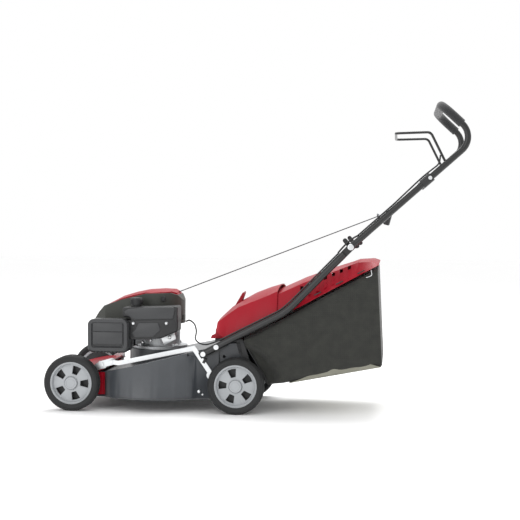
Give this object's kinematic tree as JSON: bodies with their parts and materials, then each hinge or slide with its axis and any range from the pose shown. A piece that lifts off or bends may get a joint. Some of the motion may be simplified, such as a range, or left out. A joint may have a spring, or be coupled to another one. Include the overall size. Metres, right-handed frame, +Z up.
{
  "type": "push lawn mower",
  "caption": "Walk-behind petrol lawn mower with a pressed deck, four wheels, folding tube handle with brake bail, rear flap and rigid-lid fabric grass bag.",
  "frame": {"origin": "on the ground, under the middle of the whole mower", "axes": "+Z up; the front of the mower is towards -X and its left side, as the operator sees it, towards -Y"},
  "size_m": [1.3521, 0.44, 0.989],
  "materials": {
    "deck_paint": "anthracite powder coat, satin",
    "red_plastic": "moulded red plastic, satin",
    "black_plastic": "moulded black plastic",
    "dark_plastic": "moulded charcoal plastic",
    "tyre_rubber": "dark grey rubber",
    "rim_plastic": "silver grey plastic",
    "zinc": "zinc plated",
    "steel": "bare steel",
    "black_paint": "black powder coat",
    "foam": "closed cell foam",
    "cast_aluminium": "die cast",
    "bag_fabric": "black woven polyester",
    "cable_sheath": "black sheath",
    "rope_fibre": "braided grey cord",
    "filter_paper": "pleated paper"
  },
  "bodies": {
    "chassis": {"deck_shell": "deck_paint", "front_mask": "red_plastic", "chute_frame": "black_plastic", "flap_rod": "steel", "arm_pivots": "zinc", "height_quadrant": "zinc", "crankcase": "cast_aluminium", "cylinder": "cast_aluminium", "cylinder_head": "cast_aluminium", "spark_plug": "black_plastic", "connecting_rod": "cast_aluminium", "piston": "cast_aluminium", "blower_housing": "black_plastic", "top_cover": "red_plastic", "airbox_cover": "dark_plastic", "air_filter": "filter_paper", "carburettor": "cast_aluminium", "muffler": "steel", "fuel_tank": "dark_plastic", "lower_tubes": "black_paint", "handle_brackets": "black_paint", "chassis_bolts": "zinc", "fold_bolts": "zinc", "brake_cable_lower": "cable_sheath"},
    "crank": {"crankshaft": "steel", "flywheel": "cast_aluminium", "blade_boss": "steel", "blade": "steel", "blade_bolt": "steel"},
    "rear_arms": {"rear_axle": "zinc", "height_lever": "black_paint"},
    "front_arms": {"front_axle": "zinc"},
    "link": {"height_link": "zinc"},
    "wheel_front_left": {"tyre_front_left": "tyre_rubber", "rim_front_left": "rim_plastic"},
    "wheel_front_right": {"tyre_front_right": "tyre_rubber", "rim_front_right": "rim_plastic"},
    "wheel_rear_left": {"tyre_rear_left": "tyre_rubber", "rim_rear_left": "rim_plastic"},
    "wheel_rear_right": {"tyre_rear_right": "tyre_rubber", "rim_rear_right": "rim_plastic"},
    "upper_handle": {"upper_tubes": "black_paint", "handlebar": "black_paint", "handle_grip": "foam", "tube_joiners": "black_plastic", "joiner_bolts": "zinc", "rope_guide": "steel", "brake_cable_upper": "cable_sheath"},
    "bail": {"brake_bail": "black_paint"},
    "knob_left": {"fold_knob_left": "black_plastic"},
    "knob_right": {"fold_knob_right": "black_plastic"},
    "rope": {"starter_rope": "rope_fibre"},
    "pull_grip": {"starter_grip": "black_plastic"},
    "pulley": {"recoil_pulley": "black_plastic"},
    "flap": {"rear_flap": "red_plastic", "flap_spring": "steel"},
    "bag": {"bag_lid": "red_plastic", "bag_frame": "steel", "bag_fabric": "bag_fabric"},
    "cap": {"fuel_cap": "black_plastic"}
  },
  "joints": [
    {"name": "crank_spin", "type": "hinge", "parent": "chassis", "child": "crank", "pos_m": [-0.334, 0, 0.236], "axis": [0, 0, 1], "continuous": true, "deforming": ["connecting_rod", "piston"]},
    {"name": "rear_height", "type": "hinge", "parent": "chassis", "child": "rear_arms", "pos_m": [-0.14, 0, 0.118], "axis": [0, 1, 0], "range_deg": [-10, 16]},
    {"name": "front_height", "type": "hinge", "parent": "chassis", "child": "front_arms", "pos_m": [-0.498, 0, 0.146], "axis": [0, 1, 0], "range_deg": [-16, 10]},
    {"name": "link_swing", "type": "hinge", "parent": "rear_arms", "child": "link", "pos_m": [-0.119, 0, 0.098], "axis": [0, 1, 0], "range_deg": [-13.6, 8.5]},
    {"name": "handle_fold", "type": "hinge", "parent": "chassis", "child": "upper_handle", "pos_m": [0.309, 0, 0.534], "axis": [0, -1, 0], "range_deg": [0, 120]},
    {"name": "bail_squeeze", "type": "hinge", "parent": "upper_handle", "child": "bail", "pos_m": [0.597, 0, 0.804], "axis": [0, 1, 0], "range_deg": [0, 46], "stiffness_Nm_per_rad": 1.5, "springref_deg": -22.92},
    {"name": "knob_left_turn", "type": "hinge", "parent": "chassis", "child": "knob_left", "pos_m": [0.309, -0.178, 0.534], "axis": [0, 1, 0], "range_deg": [0, 360]},
    {"name": "knob_right_turn", "type": "hinge", "parent": "chassis", "child": "knob_right", "pos_m": [0.309, 0.178, 0.534], "axis": [0, -1, 0], "range_deg": [0, 360]},
    {"name": "starter_pull", "type": "slide", "parent": "upper_handle", "child": "pull_grip", "axis": [0.88, 0, 0.475], "range_m": [0, 0.45], "stiffness_N_per_m": 12, "springref_m": -0.8},
    {"name": "recoil_spin", "type": "hinge", "parent": "chassis", "child": "pulley", "pos_m": [-0.334, 0, 0.36], "axis": [0, 0, 1], "range_deg": [0, 900]},
    {"name": "rope_swing", "type": "hinge", "parent": "upper_handle", "child": "rope", "pos_m": [0.388, 0.184, 0.62916], "axis": [0.037, 0.9983, 0.0454], "range_deg": [0, 120.23], "deforming": ["starter_rope"]},
    {"name": "flap_lift", "type": "hinge", "parent": "chassis", "child": "flap", "pos_m": [-0.112, 0, 0.258], "axis": [0, -1, 0], "range_deg": [0, 70], "stiffness_Nm_per_rad": 0.8, "springref_deg": -22.92},
    {"name": "bag_pull", "type": "slide", "parent": "chassis", "child": "bag", "axis": [1, 0, 0], "range_m": [0, 0.45]},
    {"name": "cap_turn", "type": "hinge", "parent": "chassis", "child": "cap", "pos_m": [-0.387, -0.126, 0.35], "axis": [0, 0, 1], "range_deg": [0, 120]},
    {"name": "wheel_front_left_roll", "type": "hinge", "parent": "front_arms", "child": "wheel_front_left", "pos_m": [-0.586, -0.185, 0.09], "axis": [0, 1, 0], "continuous": true},
    {"name": "wheel_front_right_roll", "type": "hinge", "parent": "front_arms", "child": "wheel_front_right", "pos_m": [-0.586, 0.185, 0.09], "axis": [0, 1, 0], "continuous": true},
    {"name": "wheel_rear_left_roll", "type": "hinge", "parent": "rear_arms", "child": "wheel_rear_left", "pos_m": [-0.052, -0.19, 0.09], "axis": [0, 1, 0], "continuous": true},
    {"name": "wheel_rear_right_roll", "type": "hinge", "parent": "rear_arms", "child": "wheel_rear_right", "pos_m": [-0.052, 0.19, 0.09], "axis": [0, 1, 0], "continuous": true}
  ],
  "couplings": [
    {"joint": "front_height", "follows": "rear_height", "ratio": -1},
    {"joint": "link_swing", "follows": "rear_height", "ratio": -0.8465},
    {"joint": "recoil_spin", "follows": "starter_pull", "rad_per_m": 33.333},
    {"joint": "rope_swing", "follows": "handle_fold", "ratio": 0.99778}
  ]
}
